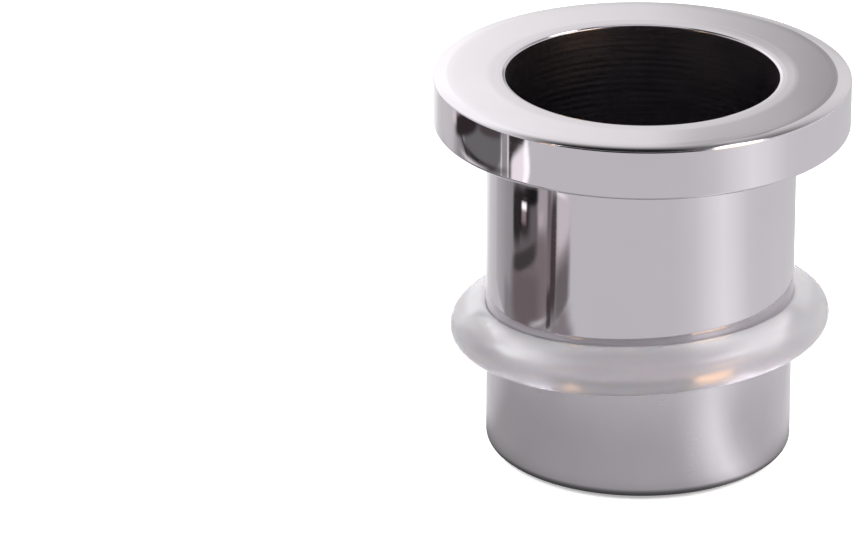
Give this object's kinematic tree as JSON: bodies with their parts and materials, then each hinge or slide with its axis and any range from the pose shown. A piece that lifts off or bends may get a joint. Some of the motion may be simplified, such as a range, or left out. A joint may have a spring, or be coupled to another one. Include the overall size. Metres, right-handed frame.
{
  "type": "ear tunnel",
  "caption": "Single-flare steel ear tunnel: a plain open tube with a flat wide flange at the front and a silicone retaining ring pushed onto the plain end.",
  "frame": {"origin": "centre of the plain end, on the surface that the tunnel stands on", "axes": "+Z along the bore, from the plain end to the flange; -Y towards the picture's viewer, +X to the viewer's right"},
  "size_m": [0.0216, 0.0216, 0.0204],
  "materials": {
    "polished_steel": "surgical steel, mirror polished on the face, rim and barrel, with a finer satin finish on the plain end below the ring",
    "clear_silicone": "milky translucent silicone, smooth, faintly bluish"
  },
  "bodies": {
    "root": {"tunnel_body": "polished_steel", "o_ring": "clear_silicone"}
  },
  "joints": []
}
